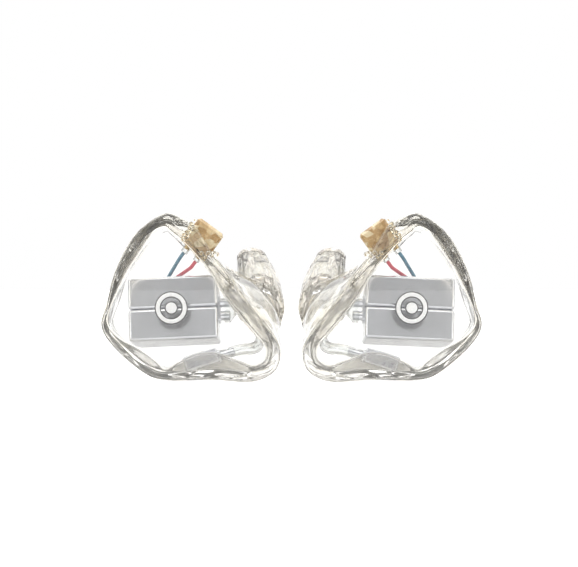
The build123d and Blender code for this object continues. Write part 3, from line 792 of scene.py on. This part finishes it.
class MONITOR_OT_badges(bpy.types.Operator):
    """Plain ring-and-dot inlay behind each faceplate, with a thin dark edge"""

    bl_idname = "monitor.badges"
    bl_label = "Inlays"

    def execute(self, context):
        x, z = BADGE_CENTRE
        centre = (x, 0.0, z)
        top = [(1.55, 0.11), (1.55, 0.05), (1.58, 0.03), (2.07, 0.03), (2.1, 0.05), (2.1, 0.11)]
        edge = [(1.4, 0.12), (1.4, 0.07), (2.24, 0.07), (2.24, 0.12)]
        dot = [(0.02, 0.03), (0.7, 0.03), (0.75, 0.05), (0.75, 0.11), (0.02, 0.11)]
        dot_edge = [(0.02, 0.07), (0.89, 0.07), (0.89, 0.12), (0.02, 0.12)]
        whites = [self.hoop(top, centre), closed_skin(lathe(dot, centre, (0, 1, 0)))]
        darks = [self.hoop(edge, centre), closed_skin(lathe(dot_edge, centre, (0, 1, 0)))]
        for side in SIDES:
            make_piece("inlay", side, joined(*whites), once(inlay_white),
                       ("faceplate_badge",))
            make_piece("inlay_edge", side, joined(*darks), once(inlay_edge))
        return {"FINISHED"}

    def hoop(self, profile, centre):
        """Profile turned about Y and closed on itself."""
        grid = lathe(profile, centre, (0, 1, 0))
        grid = np.concatenate([grid, grid[:1]])
        return grid.reshape(-1, 3), grid_faces(*grid.shape[:2]).tolist()


def rounded_box(size, radius):
    """Box with round edges and corners, as rings of a rounded rectangle at stations along X.

    At a station inside the end's rounding, the corner arcs shrink with the cosine of its angle. A point close to
    each end of an arc lies on the flat beside it, so that the flats stay flat in smooth shading.
    """
    turn = np.radians(np.linspace(0, 90, CORNER_POINTS))
    steps = np.arange(4)[:, None] * math.pi / 2
    arc = (turn[None, :] + steps).ravel()
    corner = (steps + math.pi / 4 + 0 * turn[None, :]).ravel()
    side_x = np.sign(np.sin(corner)) * (size[1] / 2 - radius)
    side_z = np.sign(np.cos(corner)) * (size[2] / 2 - radius)
    rings = []
    ends = [(-90, 0.05), (-90, 0.6), (-90, 0.97)] + [(t, 1.0) for t in np.linspace(-90, 0, 8)]
    for sign in (-1, 1):
        for t, scale in ends if sign < 0 else ends[::-1]:
            small = radius * math.cos(math.radians(t))
            x = sign * (size[0] / 2 - radius - radius * math.sin(math.radians(t)))
            ring_y, ring_z = side_x + small * np.sin(arc), side_z + small * np.cos(arc)
            rings.append(np.stack([np.full_like(arc, x), scale * ring_y, scale * ring_z], -1))
        if sign < 0:
            rings.append(rings[-1] + (BESIDE, 0, 0))
            rings.append(rings[-1] * (-1, 1, 1))
    grid = np.stack(rings)
    beside = []
    for first in range(0, 4 * CORNER_POINTS, CORNER_POINTS):
        before, after = grid[:, first - 1], grid[:, first]
        step = (after - before) / np.maximum(np.linalg.norm(after - before, axis=1), 1e-9)[:, None]
        beside += [before + BESIDE * step, after - BESIDE * step]
    columns = []
    for k in range(4):
        arc_columns = grid[:, CORNER_POINTS * k:CORNER_POINTS * (k + 1)]
        columns += [beside[2 * k][:, None], beside[2 * k + 1][:, None], arc_columns]
    return closed_skin(np.concatenate(columns, 1))


class MONITOR_OT_receivers(bpy.types.Operator):
    """Receivers as closed steel cans with round edges, and finishes for what is inside them"""

    bl_idname = "monitor.receivers"
    bl_label = "Receivers"

    def can(self, name, size, height, place, finish, replaces):
        """Closed can whose middle is at a height in its stack, with its own coordinates as a mark."""
        points, faces = rounded_box(size, 0.1 * size[2])
        local = points + (0, 0, height)
        for side in SIDES:
            make_piece(name, side, (placed(local, place), faces), finish, replaces,
                       lambda _: {"can": ("FLOAT_VECTOR", "vector", points)})

    def execute(self, context):
        chosen = look()
        steel = satin_steel(chosen, "can_steel", tuple(chosen.steel), along=can_place)
        bright = satin_steel(chosen, "bright_steel", tuple(min(1.0, 1.15 * c) for c in chosen.steel), 0.06)
        for name, side in (("upper", 1), ("lower", -1)):
            height = side * (WOOFER_SIZE[2] / 2 + STACK_GAP / 2)
            self.can(f"woofer_can_{name}", WOOFER_SIZE, height, WOOFER_PLACE, steel,
                     (f"woofer_case_{name}", f"woofer_cover_{name}"))
        self.can("tweeter_can", TWEETER_SIZE, 0.0, TWEETER_PLACE, steel, ("tweeter_case", "tweeter_cover"))
        dress(bright, "woofer_spouts", "tweeter_spout")
        dress(satin_steel(chosen, "reed_alloy_strip", (0.5, 0.48, 0.44)), "woofer_reed_upper", "woofer_reed_lower",
              "tweeter_reed")
        dress(satin_steel(chosen, "foil", (0.75, 0.75, 0.77), 0.1), "woofer_diaphragm_upper",
              "woofer_diaphragm_lower", "tweeter_diaphragm")
        dress(satin_steel(chosen, "magnet_plate", (0.28, 0.28, 0.3)), "woofer_magnets", "tweeter_motor")
        dress(copper_winding(chosen), "woofer_coils")
        return {"FINISHED"}


class MONITOR_OT_sockets(bpy.types.Operator):
    """Amber cable sockets with gold contacts, and the clear resin that beads round them"""

    bl_idname = "monitor.sockets"
    bl_label = "Cable sockets"

    def execute(self, context):
        chosen = look()
        dress(amber_resin(chosen), "socket_block")
        dress(gold_plate(chosen), "socket_contacts")
        angle = math.radians(SOCKET_ANGLE)
        out = np.array([math.cos(angle), 0.0, math.sin(angle)])
        row = np.array([math.sin(angle), 0.0, -math.cos(angle)])
        depth = np.array([0.0, 1.0, 0.0])
        a = np.linspace(0, 2 * math.pi, 160, endpoint=False)
        across = BEAD_HALF[0] * np.sign(np.cos(a)) * np.abs(np.cos(a)) ** BEAD_POWER
        through = BEAD_HALF[1] * np.sign(np.sin(a)) * np.abs(np.sin(a)) ** BEAD_POWER
        level = -BEAD_DEPTH + 0.25 * np.sin(3 * a + 0.6) - 0.55 * across / BEAD_HALF[0]
        path = np.asarray(SOCKET_FACE) + across[:, None] * row + through[:, None] * depth + level[:, None] * out
        lumps = 0.24 + 0.07 * np.sin(9 * a) + 0.05 * np.sin(14 * a + 1.0)
        skins = [bead(path, lumps, 14)]
        spots = [np.linspace(start, end, count) for count, start, end in DROPLET_ROWS]
        for k, (along, down) in enumerate(np.concatenate(spots)):
            spread = math.sin(2.4 * k + 0.5)
            middle = np.asarray(SOCKET_FACE) + (along + 0.22 * spread) * row + (down + 0.2 * math.cos(3.1 * k)) * out
            size = 0.24 + 0.12 * math.sin(1.7 * k) ** 2
            middle[1] = -0.75 - 0.25 * size + 0.25 * spread
            turn = np.linspace(0.06, math.pi - 0.06, 12)
            profile = np.stack([size * np.sin(turn), -0.75 * size * np.cos(turn)], -1)
            skins.append(closed_skin(lathe(profile, middle, (0.2 * spread, -1.0, 0.15), 24)))
        for side in SIDES:
            make_piece("socket_resin", side, joined(*skins), once(clear_resin))
        return {"FINISHED"}


class MONITOR_OT_wiring(bpy.types.Operator):
    """Wires, their clear sleeves, and the terminal board with its solder"""

    bl_idname = "monitor.wiring"
    bl_label = "Wires and board"

    def execute(self, context):
        chosen = look()
        dress(insulation("wire_red", tuple(chosen.wire_red)), "wire_red")
        dress(insulation("wire_blue", tuple(chosen.wire_blue)), "wire_blue")
        dress(once(clear_tubing), "wire_sleeves")
        dress(solder_mask(chosen), "terminal_board")
        dome = [(0.42, 0.0), (0.4, 0.08), (0.34, 0.2), (0.29, 0.34), (0.27, 0.42), (0.1, 0.44)]
        skins = []
        along, out, up = BOARD_MIDDLE
        for pad in SOLDER_PADS:
            grid = lathe(dome, (along + pad, WOOFER_SIZE[1] / 2 + out, up), (0, 1, 0), 32)
            points, faces = closed_skin(grid)
            skins.append((placed(points, WOOFER_PLACE), faces))
        for side in SIDES:
            make_piece("solder_joints", side, joined(*skins), once(solder))
        return {"FINISHED"}


class MONITOR_OT_tubes(bpy.types.Operator):
    """Clear sound tubes, the manifold and the dampers in them"""

    bl_idname = "monitor.tubes"
    bl_label = "Sound tubes"

    def execute(self, context):
        chosen = look()
        dress(once(clear_tubing), "woofer_tube", "tweeter_tube", "woofer_boot")
        dress(satin_steel(chosen, "damper_mesh", (0.45, 0.45, 0.46)), "tube_dampers")
        return {"FINISHED"}


class MONITOR_OT_stage(bpy.types.Operator):
    """Pale floor, soft light from all round, and the camera square to the faceplates"""

    bl_idname = "monitor.stage"
    bl_label = "Stage"

    def execute(self, context):
        chosen = look()
        low, high = (np.array(corner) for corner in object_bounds())
        self.floor(chosen, low[2])
        self.world()
        self.lamp("key", (-0.5, -0.25, 0.5), 0.7, 1.1)
        self.lamp("fill", (0.55, -0.25, 0.25), 0.7, 0.8)
        self.camera(chosen, low, high)
        return {"FINISHED"}

    def floor(self, chosen, height):
        """Flat disc: rings of points at growing distances round the object."""
        rings, spokes = FLOOR_RINGS, FLOOR_SPOKES
        a = np.linspace(0, 2 * math.pi, spokes, endpoint=False)
        reach = np.geomspace(0.02, 6.0, rings)[:, None]
        grid = np.stack([reach * np.cos(a), reach * np.sin(a), np.full((rings, spokes), height)], -1)
        points = np.concatenate([grid.reshape(-1, 3), [[0, 0, height]]])
        middle = [[rings * spokes, u, (u + 1) % spokes] for u in range(spokes)]
        faces = grid_faces(rings, spokes).tolist() + middle
        mesh = bpy.data.meshes.new("floor")
        mesh.from_pydata(points.tolist(), [], faces)
        mesh.materials.append(stage_white(chosen))
        obj = bpy.data.objects.new("floor", mesh)
        bpy.context.scene.collection.objects.link(obj)
        obj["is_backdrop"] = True

    def world(self):
        """Soft light by direction, for all rays but the camera's, which see plain white.

        It is brightest above. On the far side it is dark in a band to the left and right. On the camera's side it
        is dark in the middle and bright to the left and right.
        """
        world = bpy.data.worlds.new("studio")
        bpy.context.scene.world = world
        f = Finish(world)
        way = f.add("ShaderNodeTexCoord", out="Generated")
        x, y, z = (f.add("ShaderNodeSeparateXYZ", None, [way], out=axis) for axis in range(3))
        sides = x.math("ABSOLUTE")
        band = sides.step(0.45, 0.65) * (1 - sides.step(0.85, 0.96))
        front = (0 - y).step(-0.05, 0.35)
        high = z.step(0.55, 0.75)
        level = 1.22 - 0.85 * band * (1 - front) - 0.84 * front * (1 - sides.step(0.35, 0.6))
        level = level + 0.8 * front * sides.step(0.5, 0.75)
        level = level * (1 - high) + 2.2 * high
        seen = f.add("ShaderNodeLightPath", out="Is Camera Ray")
        strength = seen + (1 - seen) * level
        back = f.add("ShaderNodeBackground", None, {"Color": (1.0, 1.0, 1.0), "Strength": strength})
        f.add("ShaderNodeOutputWorld", None, {"Surface": back})

    def lamp(self, name, place, size, power):
        data = bpy.data.lights.new(name, "AREA")
        data.size = size
        data.energy = power
        obj = bpy.data.objects.new(name, data)
        obj.location = place
        obj.rotation_mode = "QUATERNION"
        obj.rotation_quaternion = (-obj.location).to_track_quat("-Z", "Y")
        bpy.context.scene.collection.objects.link(obj)

    def camera(self, chosen, low, high):
        data = bpy.data.cameras.new("camera")
        data.sensor_width = SENSOR_WIDTH
        data.lens = data.sensor_width * chosen.camera_distance / chosen.view_width
        data.clip_start, data.clip_end = 0.01, 30.0
        camera = bpy.data.objects.new("camera", data)
        middle = (low + high) / 2
        camera.location = (middle[0] + CAMERA_SHIFT[0], low[1] - chosen.camera_distance, middle[2] + CAMERA_SHIFT[1])
        camera.rotation_euler = (math.pi / 2, 0.0, 0.0)
        bpy.context.scene.collection.objects.link(camera)
        bpy.context.scene.camera = camera
        bpy.context.scene.view_settings.view_transform = "Standard"


STEPS = (MONITOR_OT_housings, MONITOR_OT_badges, MONITOR_OT_receivers, MONITOR_OT_sockets, MONITOR_OT_wiring,
         MONITOR_OT_tubes, MONITOR_OT_stage)


class MONITOR_PT_panel(bpy.types.Panel):
    """Sidebar panel with every step and the values that it uses"""

    bl_idname = "MONITOR_PT_panel"
    bl_label = "In-ear monitors"
    bl_space_type = "VIEW_3D"
    bl_region_type = "UI"
    bl_category = "Monitors"

    def draw(self, context):
        for name in MonitorLook.__annotations__:
            self.layout.prop(context.scene.monitor_look, name)
        for step in STEPS:
            self.layout.operator(step.bl_idname)


CLASSES = (MonitorLook, *STEPS, MONITOR_PT_panel)


def register():
    for each in CLASSES:
        bpy.utils.register_class(each)
    bpy.types.Scene.monitor_look = bpy.props.PointerProperty(type=MonitorLook)


def unregister():
    del bpy.types.Scene.monitor_look
    for each in reversed(CLASSES):
        bpy.utils.unregister_class(each)


def main():
    register()
    for step in STEPS:
        group, action = step.bl_idname.split(".")
        getattr(getattr(bpy.ops, group), action)()


if __name__ == "__main__":
    main()
